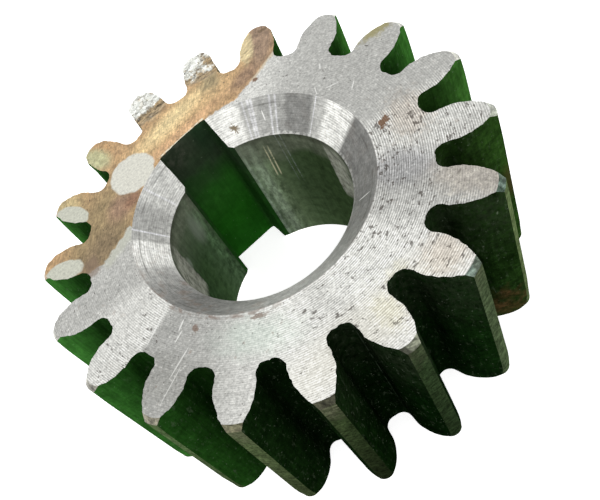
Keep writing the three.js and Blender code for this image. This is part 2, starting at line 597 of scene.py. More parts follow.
def srgb(red, green, blue):
    """A colour in screen steps of 0 to 255, as linear light."""
    def linear(step):
        share = step / 255
        return share / 12.92 if share <= 0.04045 else ((share + 0.055) / 1.055) ** 2.4
    return linear(red), linear(green), linear(blue), 1


def level(step):
    """A grey in screen steps of 0 to 255, as linear light."""
    return srgb(step, step, step)[0]


class Looks(Nodes):
    """A material with the gear's own directions at hand."""

    def __init__(self, name):
        super().__init__(name)
        self.place = Place(self)

    def by_angle(self, *pairs):
        """A value that runs round the axis through (degrees, value) pairs, from -90 to 270."""
        stops = [((degrees + 90) / 360, value) for degrees, value in pairs]
        return self.ramp(self.place.turn(), stops)

    def greys_by_angle(self, *pairs):
        """As by_angle, for greys as warm as the steel's."""
        def warm(step):
            return level(step), level(step), 0.95 * level(step)
        return self.by_angle(*[(degrees, warm(step)) for degrees, step in pairs])

    def wobble(self, per_mm, reach, detail=2.0):
        """Noise from -reach to reach."""
        cloud = self.noise(self.place.point, per_mm, detail)
        return self.maths("MULTIPLY_ADD", cloud, 4 * reach, -2 * reach)

    def blob(self, x, y, long, wide, turn=0.0, soft=0.15, ragged=0.0, z=FACE_WIDTH, grain=0.9):
        """1 inside an ellipsoid at a point of the gear, 0 outside. It is as deep as it is wide."""
        inputs = {
            "Vector": self.place.point,
            "Location": (x, y, z),
            "Rotation": (0, 0, math.radians(turn)),
            "Scale": (long, wide, max(wide, 1.0)),
        }
        local = self.add("Mapping", inputs=inputs, vector_type="TEXTURE")
        away = self.add("VectorMath", output="Value", inputs={0: local}, operation="LENGTH")
        if ragged:
            away = self.plus(away, self.wobble(grain, ragged, 4.0))
        return self.ease(away, 1 + soft, 1 - soft)

    def spoke(self, degrees, half_width, soft=0.25):
        """1 along a direction from the axis, 0 away from it."""
        off = self.maths("ABSOLUTE", self.maths("SUBTRACT", self.place.degrees, degrees))
        return self.ease(off, half_width + soft, half_width)

    def feed_lines(self, pitch):
        """The tool's rings on a turned surface, 0 to 1, with a slow drift in their spacing."""
        drift = self.noise(self.place.rings(0.35, 2.0, 0.35), 1.0)
        along = self.plus(self.place.radius, self.place.z)
        turns = self.maths("MULTIPLY_ADD", along, 2 * math.pi / pitch, self.times(drift, 9.0))
        return self.maths("MULTIPLY_ADD", self.maths("SINE", turns), 0.5, 0.5)

    def streaks(self, per_mm, round_the_axis):
        """Tool marks of uneven depth, 0 to 1, long round the axis."""
        rings = self.place.rings(per_mm, round_the_axis, per_mm)
        return self.noise(rings, 1.0, 4.0, 0.6)

    def shade(self, colour, value, contrast):
        """Darkens and lightens the colour with a value of 0 to 1, evenly about 0.5."""
        gain = self.maths(
            "MULTIPLY_ADD", value, contrast, self.maths("MULTIPLY_ADD", contrast, -0.5, 1.0)
        )
        return self.tint(colour, gain)


SMOOTH_GREY = srgb(178, 178, 178)
DARK_PIT = srgb(70, 62, 55)
RUST = srgb(120, 88, 62)
SCRATCH = srgb(236, 236, 232)


def turned_ground(look):
    """Bare turned steel, painted bright where the feed lines would catch the light."""
    # Painted highlights: the greys by angle stand for light caught in the feed lines.
    highlight_sectors = look.greys_by_angle(
        (-90, 232), (-68, 226), (-60, 200), (-50, 178), (-42, 196), (-30, 208), (-16, 212),
        (-12, 188), (10, 184), (35, 190), (48, 220), (150, 194), (172, 188), (180, 218), (186, 216),
        (190, 218), (196.5, 224), (198.5, 174), (220, 182), (230, 206), (250, 236), (262, 214),
        (270, 228),
    )
    # The feed lines' contrast by angle follows the same painted highlight sectors.
    contrast = look.by_angle(
        (-90, 0.62), (-16, 0.72), (-12, 0.16), (50, 0.12), (160, 0.16), (186, 0.20), (190, 0.5),
        (196.5, 0.5), (198.5, 0.14), (236, 0.18), (246, 0.42), (270, 0.62),
    )
    patchy = look.ease(look.noise(look.place.point, 0.9, 2.0), 0.35, 0.6, 0.45, 1.15)
    worn = look.blob(19.5, -20.5, 6.0, 3.0, -50, soft=0.4)
    patchy = look.tint(patchy, look.ease(worn, 0.0, 1.0, 1.0, 0.35))
    colour = look.shade(highlight_sectors, look.feed_lines(0.27), look.times(contrast, patchy))
    colour = look.shade(
        colour, look.streaks(2.2, 26.0), look.maths("MULTIPLY_ADD", contrast, 0.9, 0.35)
    )
    colour = look.shade(colour, look.noise(look.place.point, 3.0, 4.0, 0.8), 1.9)
    colour = look.shade(colour, look.noise(look.place.point, 0.5, 2.0), 0.25)
    return colour, contrast


def face_pits(look, contrast):
    """Short dark pits along the feed lines, most of them where the lines are deep."""
    dashes = look.noise(look.place.rings(2.4, 24.0), 1.0, 3.0, 0.65)
    crowd = look.ease(look.place.radius, 22.5, 18.0, -0.02, 0.03)
    crowd = look.plus(crowd, look.noise(look.place.rings(0.5, 6.0), 1.0, 2.0))
    bound = look.maths(
        "MULTIPLY_ADD", contrast, -0.155, look.maths("MULTIPLY_ADD", crowd, -0.3, 0.845)
    )
    pits = look.ease(look.maths("SUBTRACT", dashes, bound), 0.0, 0.06)
    dots = look.ease(look.noise(look.place.point, 2.1, 2.0), 0.70, 0.75)
    return look.larger(pits, look.times(dots, 0.8))


def face_scratches(look):
    """Straight bright scratches on the front face."""
    scratches = (
        look.blob(-18.7, -5.7, 2.6, 0.10, 25),
        look.blob(-19.3, -11.9, 2.2, 0.10, 21),
        look.blob(-17.4, -9.0, 0.9, 0.08, 22),
        look.blob(-21.5, -13.4, 2.4, 0.07, 24),
        look.blob(-16.3, -8.0, 0.8, 0.12, 30),
        look.blob(17.8, 4.4, 0.9, 0.08, -24),
        look.blob(19.3, 2.0, 0.8, 0.08, 38),
        look.blob(16.0, 5.6, 0.7, 0.07, 64),
        look.blob(19.0, 8.4, 0.5, 0.10, 55),
        look.blob(13.9, -9.2, 1.6, 0.07, 40),
        look.blob(16.9, -12.2, 1.8, 0.06, 58),
    )
    together = scratches[0]
    for scratch in scratches[1:]:
        together = look.larger(together, scratch)
    return together


def stain_edge(look):
    """The height of the stain's lower edge, across the gear. Between the ends it is the chamfer."""
    left, right = -24.0, 20.0
    points = (
        (-24.0, 9.3), (-21.0, 8.9), (-19.0, 8.3), (-17.0, 8.9), (-15.0, 9.6), (-13.0, 10.3),
        (-12.8, 9.0), (4.0, 9.0), (4.2, 15.7), (7.0, 15.2), (8.5, 14.7), (10.5, 15.0), (13.0, 15.2),
        (17.3, 16.4), (20.0, 17.2),
    )
    across = look.maths("MULTIPLY_ADD", look.place.x, 1 / (right - left), -left / (right - left))
    stops = [((x - left) / (right - left), y / 20) for x, y in points]
    return look.times(look.ramp(across, stops), 20.0)


def stain_tones(look):
    """The stain's own colours, golden over the keyway and brown at both ends."""
    colour = look.mix(
        look.blob(1.5, 19.6, 9.5, 2.6, 3, soft=0.7), srgb(190, 157, 116), srgb(216, 184, 136)
    )
    colour = look.mix(look.blob(1.0, 20.4, 5.5, 1.4, 4, soft=0.8), colour, srgb(232, 210, 160))
    colour = look.mix(look.blob(0.5, 17.0, 7.0, 0.9, 0, soft=0.6), colour, srgb(210, 172, 130))
    colour = look.mix(look.blob(-16.5, 13.0, 9.0, 4.6, 42, soft=0.5), colour, srgb(160, 140, 104))
    colour = look.mix(look.blob(-18.4, 21.4, 2.8, 2.6, 0, soft=0.6), colour, srgb(192, 174, 130))
    colour = look.mix(look.blob(-18.0, 10.6, 4.5, 2.0, 15, soft=0.6), colour, srgb(138, 120, 92))
    colour = look.mix(look.blob(-12.2, 14.2, 2.4, 1.8, 30, soft=0.6), colour, srgb(158, 130, 106))
    murky = look.blob(8.6, 21.0, 2.0, 1.5, 60, soft=0.6, ragged=0.4)
    colour = look.paint(colour, murky, srgb(156, 144, 112), 0.8)
    colour = look.mix(look.blob(12.4, 16.8, 2.8, 1.3, 12, soft=0.6), colour, srgb(160, 132, 106))
    colour = look.mix(look.blob(17.6, 20.3, 5.0, 1.8, 54, soft=0.45), colour, srgb(158, 134, 112))
    return colour


def stain(look):
    """The brown and golden heat stain round the keyway: its mask and its colour."""
    above = look.maths("SUBTRACT", look.place.y, stain_edge(look))
    mask = look.ease(look.plus(above, look.wobble(1.6, 0.22)), -0.2, 0.2)
    colour = stain_tones(look)
    notch = look.blob(18.9, 21.5, 0.75, 0.28, -12, soft=0.4, ragged=0.3)
    colour = look.paint(colour, notch, srgb(112, 92, 66), 0.7)
    border = look.ease(look.away_from(above, 0.05), 0.45, 0.15)
    border = look.times(border, look.ease(look.place.x, 11.5, 13.0))
    colour = look.mix(look.blob(-10.4, 13.7, 1.5, 0.9, 20, soft=0.6), colour, srgb(150, 116, 92))
    strokes = look.add("Mapping", inputs={
        "Vector": look.place.point, "Rotation": (0, 0, math.radians(50)), "Scale": (0.8, 0.2, 1.0),
    }, vector_type="TEXTURE")
    colour = look.shade(colour, look.noise(strokes, 1.0, 4.0, 0.65), 1.7)
    colour = look.shade(colour, look.noise(look.place.point, 0.8, 4.0, 0.65), 1.5)
    colour = look.shade(colour, look.noise(look.place.point, 3.0, 3.0, 0.7), 1.1)
    specks = look.ease(look.noise(look.place.point, 1.9, 2.0), 0.69, 0.74)
    colour = look.paint(colour, specks, srgb(96, 72, 50), 0.6)
    return mask, look.paint(colour, border, srgb(216, 206, 184), 0.8)


def pale_patches(look):
    """Places inside the stain where the steel stayed clean."""
    disc = look.blob(-8.0, 17.6, 3.45, 3.35, 0, soft=0.05, ragged=0.05)
    oval_14 = look.blob(-18.2, 19.4, 3.0, 1.75, 120, soft=0.07, ragged=0.08)
    oval_13 = look.blob(-23.6, 12.2, 3.0, 1.7, 150, soft=0.07, ragged=0.08)
    return look.larger(disc, look.larger(oval_14, oval_13))


def cracks(look, per_mm):
    """0 along thin winding cracks, 1 between them."""
    cloud = look.noise(look.place.point, per_mm, 2.5, 0.55)
    off = look.away_from(cloud, 0.5)
    return look.ease(off, 0.0, 0.03)


def lumps(look):
    """Painted lump shading: 0.5 where it lies level, lighter where it faces outwards from the axis.
    """
    across, slope = look.times(look.place.x, 0.7), 0.3
    here = look.noise(look.combine(across, look.place.y, 0.0), 1.0, 3.0, 0.6)
    beyond = look.plus(look.place.y, slope)
    beyond = look.noise(look.combine(across, beyond, 0.0), 1.0, 3.0, 0.6)
    return look.maths("MULTIPLY_ADD", look.maths("SUBTRACT", here, beyond), 2.6, 0.5)


def rough_ends(look):
    """The crumpled ends of the two teeth over the keyway: mask, and colour with painted shading."""
    ends = look.larger(
        look.blob(-0.1, 27.4, 3.9, 4.2, 0, soft=0.14, ragged=0.12),
        look.blob(9.4, 26.0, 4.1, 4.0, -20, soft=0.14, ragged=0.12),
    )
    foot = look.ease(look.place.radius, 27.2, 24.4)
    crevices = look.noise(look.place.point, 0.7, 3.0, 0.6)
    side = look.ease(look.plus(look.place.x, look.times(look.place.y, -0.36)), 0.2, 1.6, 0.0, 0.5)
    foot = look.larger(foot, side)
    earthy = look.ease(look.maths("MULTIPLY_ADD", foot, 0.3, crevices), 0.53, 0.72)
    # Painted shade and light on the lumps, as if lit from beyond the rim.
    lump_shade = lumps(look)
    silver = look.shade(srgb(246, 248, 241), lump_shade, 0.95)
    earth = look.shade(srgb(170, 150, 118), lump_shade, 1.5)
    colour = look.mix(earthy, silver, earth)
    # Painted shade along the cracks.
    crack_shade = look.maths("SUBTRACT", 1.0, cracks(look, 0.45))
    colour = look.paint(colour, crack_shade, srgb(112, 100, 80), 0.6)
    return ends, look.shade(colour, look.noise(look.place.point, 2.6, 3.0, 0.7), 0.9)


def keyway_lip(look):
    """Painted highlight: a bright, broken line on the deburred edge over the keyway's mouth."""
    off = look.away_from(look.place.y, KEYWAY_FLOOR + 0.1)
    lip = look.times(
        look.ease(off, 0.22, 0.12), look.ease(look.maths("ABSOLUTE", look.place.x), 4.1, 3.9)
    )
    return look.times(lip, look.ease(look.noise(look.place.point, 1.1, 3.0), 0.38, 0.5))


def face_tints(look, colour):
    """Broad, faint tints of the front face, from green low on the left to beige on the right."""
    colour = look.paint(
        colour,
        look.blob(-10.5, -16.5, 4.5, 2.2, -40, soft=0.7, ragged=0.3),
        srgb(205, 232, 214),
        0.24,
    )
    colour = look.paint(
        colour, look.blob(-2.0, -25.0, 12.0, 3.0, 0, soft=0.7), srgb(232, 226, 204), 0.25
    )
    beige = look.larger(
        look.blob(19.5, -20.5, 6.0, 3.0, -50, soft=0.4, ragged=0.2),
        look.blob(20.0, -7.5, 3.4, 2.4, 60, soft=0.6, ragged=0.5, grain=1.6),
    )
    beige = look.larger(beige, look.blob(9.6, -24.5, 2.6, 2.2, 20, soft=0.6, ragged=0.4, grain=1.4))
    colour = look.mix(look.times(beige, 0.6), colour, srgb(238, 226, 216), "MULTIPLY")
    grey_patch = look.blob(14.4, -12.6, 3.8, 2.4, -42, soft=0.5, ragged=0.2)
    colour = look.mix(grey_patch, colour, srgb(224, 224, 228), "MULTIPLY")
    dull = look.times(look.blob(-21.5, -12.5, 6.5, 3.0, -58, soft=0.5, ragged=0.3), 0.7)
    colour = look.mix(dull, colour, srgb(228, 228, 226), "MULTIPLY")
    yellow_tints = look.larger(
        look.blob(1.0, -25.2, 2.2, 1.3, 80, soft=0.6, ragged=0.5, grain=1.6),
        look.blob(4.5, -22.6, 1.8, 0.9, 30, soft=0.6, ragged=0.5, grain=1.6),
    )
    colour = look.mix(look.times(yellow_tints, 0.45), colour, srgb(240, 237, 214), "MULTIPLY")
    return colour


def face_specks(look, colour):
    """The pale band beside the stain, brown specks and painted glints of small bright grains."""
    pale_band = look.times(
        look.ease(look.place.x, -11.5, -13.5), look.ease(look.place.x, -19.5, -18.0)
    )
    below = look.maths("SUBTRACT", look.place.y, stain_edge(look))
    pale_band = look.times(
        pale_band, look.ease(look.plus(below, look.wobble(0.8, 0.3)), -2.0, -0.9)
    )
    colour = look.paint(colour, pale_band, srgb(200, 202, 186), 0.6)
    brown_specks = look.ease(look.noise(look.place.point, 1.0, 3.0), 0.66, 0.74)
    where = look.by_angle(
        (-90, 0.1), (-40, 0.4), (-15, 0.45), (0, 0.1), (150, 0.1), (162, 0.9), (172, 0.3),
        (195, 0.7), (245, 0.6), (255, 0.2), (270, 0.1),
    )
    colour = look.mix(look.times(brown_specks, look.times(where, 0.6)), colour, srgb(146, 124, 108))
    # Painted highlights: small glints of bright grains all over the face.
    sparkle = look.ease(look.noise(look.place.point, 3.0, 2.0), 0.66, 0.74)
    colour = look.paint(colour, sparkle, srgb(246, 246, 240), 0.4)
    return colour


def stained_rims(look, colour):
    """Yellow and golden rims of single teeth."""
    yellow_rim = look.blob(-10.4, 25.2, 2.8, 1.6, 110, soft=0.5)
    colour = look.mix(
        look.times(yellow_rim, 0.8),
        colour,
        look.shade(srgb(196, 200, 158), look.noise(look.place.point, 1.5, 4.0, 0.7), 2.2),
    )
    tooth_2_rim = look.blob(27.5, 6.35, 3.0, 0.85, -10, soft=0.6, ragged=0.7, grain=1.8)
    colour = look.paint(colour, tooth_2_rim, srgb(158, 150, 98), 0.8)
    golden_edge = look.blob(15.5, 21.5, 3.4, 1.25, 60, soft=0.3, ragged=0.25, grain=1.4)
    # The golden edge is shaded with the painted lump shading.
    colour = look.mix(
        look.times(golden_edge, 0.85), colour, look.shade(srgb(222, 206, 162), lumps(look), 0.9)
    )
    return colour


def clean_steel(look, colour, patches):
    """The pale steel of the clean patches, with brown dots at the foot of one."""
    left = look.ease(look.place.x, -13.0, -15.0)
    pale = look.mix(left, srgb(222, 221, 210), srgb(205, 206, 192))
    pale = look.shade(pale, look.noise(look.place.point, 2.8, 4.0, 0.75), 1.1)
    colour = look.mix(patches, colour, pale)
    dotted = look.blob(-20.4, 9.3, 1.6, 1.2, 60, soft=0.5, ragged=0.3)
    colour = look.paint(colour, dotted, srgb(138, 116, 98), 0.6)
    return colour


def face_rust(look, colour):
    """Rust spots, the painted highlight of the lip over the keyway, and rust at the chamfer's rim.
    """
    rust = look.larger(
        look.blob(17.5, -5.9, 0.85, 0.6, 20, soft=0.2, ragged=0.7, grain=1.8),
        look.blob(12.6, 14.85, 0.42, 0.3, -20, soft=0.2, ragged=0.5, grain=2.0),
    )
    colour = look.paint(colour, rust, RUST, 0.9)
    # Painted highlight along the keyway's lip.
    colour = look.mix(keyway_lip(look), colour, srgb(240, 232, 208))
    foot_rust = look.larger(
        look.blob(-8.9, -14.6, 0.9, 0.3, -25, soft=0.4, ragged=0.9, grain=2.0),
        look.blob(-15.4, -9.8, 0.6, 0.35, 40, soft=0.4, ragged=0.9, grain=2.0),
    )
    rim = look.ease(look.away_from(look.place.radius, 16.5), 0.4, 0.1)
    rim = look.times(rim, look.ease(look.noise(look.place.rings(1.4, 14.0), 1.0, 3.0), 0.46, 0.6))
    rim = look.times(
        rim,
        look.by_angle(
            (-90, 0.1), (0, 0.0), (185, 0.1), (200, 0.8), (240, 0.8), (255, 0.1), (270, 0.1)
        ),
    )
    foot_rust = look.larger(foot_rust, rim)
    colour = look.paint(colour, foot_rust, srgb(120, 92, 74), 0.65)
    return colour


def front_face(name):
    """The turned face: painted highlights on feed lines, pits, a heat stain, crumpled tooth ends.
    """
    look = Looks(name)
    colour, contrast = turned_ground(look)
    colour = look.paint(colour, face_scratches(look), SCRATCH, 0.8)
    colour = face_tints(look, colour)
    colour = face_specks(look, colour)
    # Painted highlights: a speckle of bright grains on the beige patch.
    grainy = look.blob(18.2, -21.0, 5.0, 2.8, -50, soft=0.5, ragged=0.3)
    grains = look.ease(look.noise(look.place.point, 2.4, 3.0, 0.7), 0.5, 0.64)
    colour = look.mix(look.times(grainy, look.times(grains, 0.32)), colour, srgb(240, 236, 220))
    stained, stain_colour = stain(look)
    colour = look.mix(stained, colour, stain_colour)
    colour = stained_rims(look, colour)
    patches = pale_patches(look)
    colour = clean_steel(look, colour, patches)
    pits = look.times(face_pits(look, contrast), look.maths("SUBTRACT", 1.0, patches))
    pits = look.times(pits, look.ease(grainy, 0.0, 1.0, 1.0, 0.25))
    colour = look.paint(colour, pits, DARK_PIT, 0.75)
    colour = face_rust(look, colour)
    ends, ends_colour = rough_ends(look)
    colour = look.mix(ends, colour, ends_colour)
    bare = look.maths("SUBTRACT", 1.0, look.times(stained, look.maths("SUBTRACT", 1.0, patches)))
    height = look.times(look.feed_lines(0.27), contrast)
    height = look.plus(height, look.streaks(2.4, 9.0))
    roughness = look.ease(look.streaks(2.4, 9.0), 0.3, 0.7, 0.34, 0.48)
    metallic = look.ease(bare, 0.0, 1.0, 0.55, 1.0)
    return look.finish(colour, roughness, height, 0.012, metallic, Anisotropic=0.5)


def cone_glints(look):
    """Painted glints: narrow bright lines down the cone, where its turning marks catch the light.
    """
    lines = look.spoke(17.5, 0.12, 0.25)
    for degrees, half_width in (
        (39.4, 0.2), (42.4, 0.25), (51.9, 0.35), (53.5, 0.3), (56.2, 0.15), (121.0, 0.3)
    ):
        lines = look.larger(lines, look.times(look.spoke(degrees, half_width, 0.6), 0.65))
    return look.larger(lines, look.spoke(144.0, 0.35, 0.3))


def cone_marks(look, colour, bright):
    """Dark flecks, a branching brown spot, scratches and the painted highlight of a burr at the
    cone's foot.
    """
    flecks = look.ease(look.noise(look.place.rings(2.2, 14.0, 2.2), 1.0, 3.0, 0.6), 0.68, 0.75)
    flecks = look.times(flecks, look.maths("MULTIPLY_ADD", bright, 0.75, 0.15))
    colour = look.mix(flecks, colour, srgb(88, 84, 76))
    spot = look.blob(6.15, 12.75, 0.62, 0.2, -50, soft=0.4, ragged=0.4, z=24.4, grain=2.4)
    for turn, reach in ((-15, 0.62), (-95, 0.7), (50, 0.45)):
        leg = look.blob(6.2, 12.7, reach, 0.09, turn, soft=0.4, ragged=0.5, z=24.4, grain=2.4)
        spot = look.larger(spot, leg)
    colour = look.paint(colour, spot, srgb(122, 104, 74), 0.9)
    scratch = look.larger(
        look.blob(9.9, 10.5, 0.62, 0.09, 64, z=24.7), look.blob(-12.9, 6.0, 0.9, 0.1, 150, z=24.4)
    )
    scratch = look.larger(scratch, look.blob(9.6, -10.75, 1.7, 0.07, -48, z=24.6))
    colour = look.mix(scratch, colour, SCRATCH)
    # Painted highlight: a bright line along the burr, shown at some angles only.
    burr = look.ease(look.plus(look.place.radius, look.wobble(1.2, 0.12)), 12.85, 12.62)
    burr = look.times(burr, look.ease(look.noise(look.place.point, 1.6, 2.0), 0.42, 0.55))
    shown = look.by_angle(
        (-90, 0.0), (-5, 0.5), (60, 0.7), (90, 0.4), (165, 0.4), (200, 0.1), (270, 0.0)
    )
    colour = look.mix(look.times(burr, shown), colour, srgb(232, 232, 226))
    return colour


def cone_grime(look, colour):
    """A dark ring, rust at the rim and brown smears on the left."""
    dark_ring = look.ease(look.away_from(look.place.radius, 15.5), 0.12, 0.04)
    dark_ring = look.times(
        dark_ring, look.ease(look.noise(look.place.rings(0.5, 6.0), 1.0), 0.42, 0.6)
    )
    colour = look.paint(colour, dark_ring, srgb(84, 82, 76), 0.45)
    rim = look.ease(look.place.radius, 15.95, 16.2)
    grime = look.ease(look.noise(look.place.rings(1.0, 10.0), 1.0, 3.0), 0.48, 0.6)
    grime = look.times(
        grime,
        look.by_angle(
            (-90, 0.1), (0, 0.05), (150, 0.1), (175, 0.5), (200, 0.9), (245, 1.0), (260, 0.2),
            (270, 0.1),
        ),
    )
    colour = look.paint(colour, look.times(rim, grime), RUST, 0.7)
    brown = look.times(
        look.ease(look.noise(look.place.point, 0.7, 4.0), 0.5, 0.7),
        look.by_angle(
            (-90, 0.2), (-40, 0.1), (150, 0.0), (172, 0.5), (215, 0.6), (245, 0.4), (270, 0.2)
        ),
    )
    colour = look.paint(colour, brown, srgb(150, 124, 106), 0.6)
    return colour


def bore_chamfer(name):
    """The turned cone round the bore. Each sector mirrors another part of its surroundings."""
    look = Looks(name)
    # Painted reflections: the greys by angle, bright where a sector mirrors a light.
    colour = look.greys_by_angle(
        (-90, 190), (-66, 146), (-40, 132), (-8, 128), (-6.2, 236), (10.5, 243), (11.5, 196),
        (18, 190), (20, 136), (33, 138), (35, 164), (48, 174), (52, 186), (58, 192), (60, 242),
        (74, 244), (106, 212), (126, 206), (130, 170), (142, 172), (144.5, 190), (149, 184),
        (150.5, 238), (165, 236), (168, 188), (182, 158), (200, 134), (222, 156), (240, 196),
        (270, 190),
    )
    # Painted glints down the cone.
    colour = look.paint(colour, cone_glints(look), srgb(240, 240, 244), 0.7)
    # The painted glint sectors, where the lines, streaks and flecks show more.
    bright = look.by_angle(
        (-90, 0.1), (-8, 0.1), (-6, 1.0), (11, 1.0), (12, 0.2), (58, 0.3), (61, 0.6), (75, 0.6),
        (105, 0.5), (126, 0.4), (149, 0.4), (151, 0.9), (165, 0.9), (168, 0.3), (270, 0.1),
    )
    colour = look.shade(
        colour, look.feed_lines(0.42), look.maths("MULTIPLY_ADD", bright, 0.3, 0.06)
    )
    colour = look.shade(
        colour, look.streaks(2.2, 8.0), look.maths("MULTIPLY_ADD", bright, 0.9, 0.6)
    )
    colour = look.shade(colour, look.noise(look.place.point, 2.2, 4.0, 0.75), 1.7)
    colour = look.shade(colour, look.noise(look.place.point, 0.6, 4.0, 0.6), 0.9)
    colour = cone_marks(look, colour, bright)
    colour = cone_grime(look, colour)
    roughness = look.ease(look.streaks(2.6, 5.0), 0.3, 0.7, 0.3, 0.44)
    return look.finish(
        colour, roughness, look.streaks(2.6, 5.0), 0.02, 0.25, Anisotropic=0.6,
        Specular_IOR_Level=0.1,
    )


def wall_reflections(look, colour, grain):
    """Bright patches where the wall mirrors its surroundings, and pale streaks between them."""
    # Painted reflections: the bright patches and pale streaks below.
    place = look.place
    right_patch = look.times(
        look.ease(look.plus(place.degrees, look.wobble(0.8, 0.6)), 10.2, 8.8),
        look.ease(place.z, 10.5, 12.0),
    )
    left_patch = look.times(
        look.ease(look.plus(place.degrees, look.wobble(0.8, 0.8)), 147.0, 149.0),
        look.ease(place.z, 10.5, 12.5),
    )
    reflections = look.larger(look.times(right_patch, look.ease(place.sine, -0.3, 0.0)), left_patch)
    reflections = look.times(reflections, look.ease(place.z, 22.4, 20.4, 0.3, 1.0))
    colour = look.mix(reflections, colour, look.shade(srgb(154, 156, 144), grain, 3.0))
    streak = look.larger(
        look.blob(-10.3, 6.9, 2.0, 0.45, 0, soft=0.5, z=17.0),
        look.blob(-6.4, 10.7, 0.9, 2.6, 0, soft=0.6, z=17.0),
    )
    colour = look.paint(colour, streak, srgb(160, 168, 156), 0.4)
    return colour


def wall_glints(look, colour):
    """Painted glints: fine bright lines down the upper wall, two of them leaning and broken."""
    place = look.place
    broken = look.ease(look.noise(place.point, 2.6, 4.0, 0.7), 0.36, 0.6)
    # Painted glints as well, in line with two of the cone's.
    marks = look.times(
        look.larger(look.spoke(42.1, 0.2, 0.3), look.spoke(39.0, 0.2, 0.4)),
        look.ease(place.z, 12.0, 14.5),
    )
    colour = look.paint(colour, look.times(marks, broken), srgb(158, 168, 164), 0.4)
    lean = look.maths("MULTIPLY_ADD", place.z, 0.2, place.degrees)
    glints = look.maths("MINIMUM", look.away_from(lean, 54.2),
                        look.away_from(lean, 56.7))
    glints = look.ease(glints, 0.6, 0.25)
    extent = look.times(look.ease(place.z, 14.4, 15.2), look.ease(place.z, 21.4, 20.0))
    solid_part = look.larger(look.ease(place.z, 18.5, 17.0), broken)
    glints = look.times(look.times(glints, extent), solid_part)
    colour = look.mix(glints, colour, srgb(206, 202, 168))
    return colour


def bore_wall(name):
    """The bore below its chamfer: dark, with axial marks of the broach and painted reflections."""
    look = Looks(name)
    place = look.place
    # Painted reflections: green surroundings seen in the wall, and light bands beside the keyway.
    colour = look.by_angle(
        (-90, srgb(56, 74, 46)), (20, srgb(58, 76, 48)), (40, srgb(70, 88, 60)),
        (50, srgb(92, 110, 80)), (57, srgb(116, 134, 104)), (60, srgb(150, 168, 142)),
        (63.5, srgb(146, 164, 138)), (65.2, srgb(112, 130, 104)), (66.4, srgb(114, 132, 106)),
        (67.6, srgb(150, 168, 146)), (69, srgb(112, 132, 106)), (71, srgb(48, 68, 44)),
        (110, srgb(40, 62, 36)), (112.5, srgb(76, 100, 70)), (116, srgb(88, 116, 82)),
        (121, srgb(76, 100, 70)), (135, srgb(64, 88, 56)), (160, srgb(56, 80, 50)),
        (270, srgb(56, 74, 46)),
    )
    grain = look.noise(place.point, 0.9, 5.0, 0.65)
    colour = look.shade(colour, grain, 1.6)
    beside_keyway = look.times(
        look.ease(place.degrees, 50.0, 56.0), look.ease(place.degrees, 124.0, 116.0)
    )
    smudges = look.noise(look.combine(place.x, place.y, look.times(place.z, 0.35)), 1.7, 5.0, 0.7)
    colour = look.shade(colour, look.ease(smudges, 0.3, 0.7), look.times(beside_keyway, 0.95))
    lit = look.ease(place.z, 2.0, 17.0, 0.72, 1.2)
    colour = look.mix(beside_keyway, colour, look.tint(colour, lit))
    # Painted light: the wall turns lighter and greyer towards the mouth, mixed in below.
    painted_top_light = look.ease(look.plus(place.z, look.wobble(0.25, 1.6)), 17.5, 20.5)
    haze = look.times(look.ease(place.z, 12.0, 18.0), look.ease(place.cosine, 0.9, 0.2))
    colour = look.paint(colour, haze, srgb(112, 120, 104), 0.3)
    colour = look.mix(look.times(painted_top_light, 0.7), colour, look.shade(srgb(108, 113, 98), grain, 2.2))
    colour = wall_reflections(look, colour, grain)
    smear = look.ease(look.plus(place.z, look.wobble(0.3, 1.2)), 21.2, 22.6)
    colour = look.paint(colour, smear, srgb(52, 52, 44), 0.5)
    axial = look.combine(look.times(place.cosine, 26.0), look.times(place.sine, 26.0),
                         look.times(place.z, 0.16))
    colour = look.shade(colour, look.noise(axial, 1.0, 4.0, 0.6), 0.8)
    colour = wall_glints(look, colour)
    roughness = look.ease(look.noise(axial, 1.0, 4.0), 0.3, 0.7, 0.4, 0.55)
    return look.finish(
        colour, roughness, look.noise(axial, 1.0, 4.0), 0.02, 0.0, Specular_IOR_Level=0.0
    )


def keyway(name):
    """The broached slot: nearly black at the mouth, green further down as a painted reflection."""
    look = Looks(name)
    place = look.place
    depth = look.plus(place.z, look.wobble(0.22, 2.2))
    # Painted reflection: the green down the slot stands for green surroundings mirrored in it.
    colour = look.ramp(look.ease(depth, 26.4, 2.0), [
        (0.0, srgb(50, 60, 46)), (0.14, srgb(50, 66, 46)), (0.5, srgb(46, 102, 36)),
        (0.85, srgb(34, 96, 24)), (1.0, srgb(30, 86, 22)),
    ])
    near_mouth = look.times(look.ease(place.z, 19.0, 24.0), look.ease(place.x, 0.5, 2.2))
    colour = look.paint(colour, near_mouth, srgb(34, 58, 36), 0.7)
    dusty = look.times(look.ease(place.z, 21.5, 24.5), look.ease(place.x, 0.5, -1.5))
    dusty = look.times(dusty, look.ease(look.noise(place.point, 0.9, 4.0, 0.65), 0.4, 0.62))
    colour = look.paint(colour, dusty, srgb(74, 76, 66), 0.6)
    # Painted shade: darker towards the side walls.
    side = look.ease(look.maths("ABSOLUTE", place.x), 3.2, 4.0)
    colour = look.paint(colour, side, srgb(32, 56, 28), 0.6)
    axial = look.combine(look.times(place.x, 3.0), look.times(place.y, 3.0),
                         look.times(place.z, 0.2))
    colour = look.shade(colour, look.noise(axial, 1.0, 3.0), 0.5)
    colour = look.shade(colour, look.noise(place.point, 0.9, 5.0, 0.65), 1.0)
    dust = look.ease(look.noise(place.point, 2.4, 2.0), 0.72, 0.77)
    colour = look.paint(colour, dust, srgb(120, 134, 112), 0.4)
    roughness = look.ease(look.noise(axial, 1.0, 3.0), 0.3, 0.7, 0.5, 0.65)
    return look.finish(
        colour, roughness, look.noise(axial, 1.0, 3.0), 0.02, 0.0, Specular_IOR_Level=0.0
    )


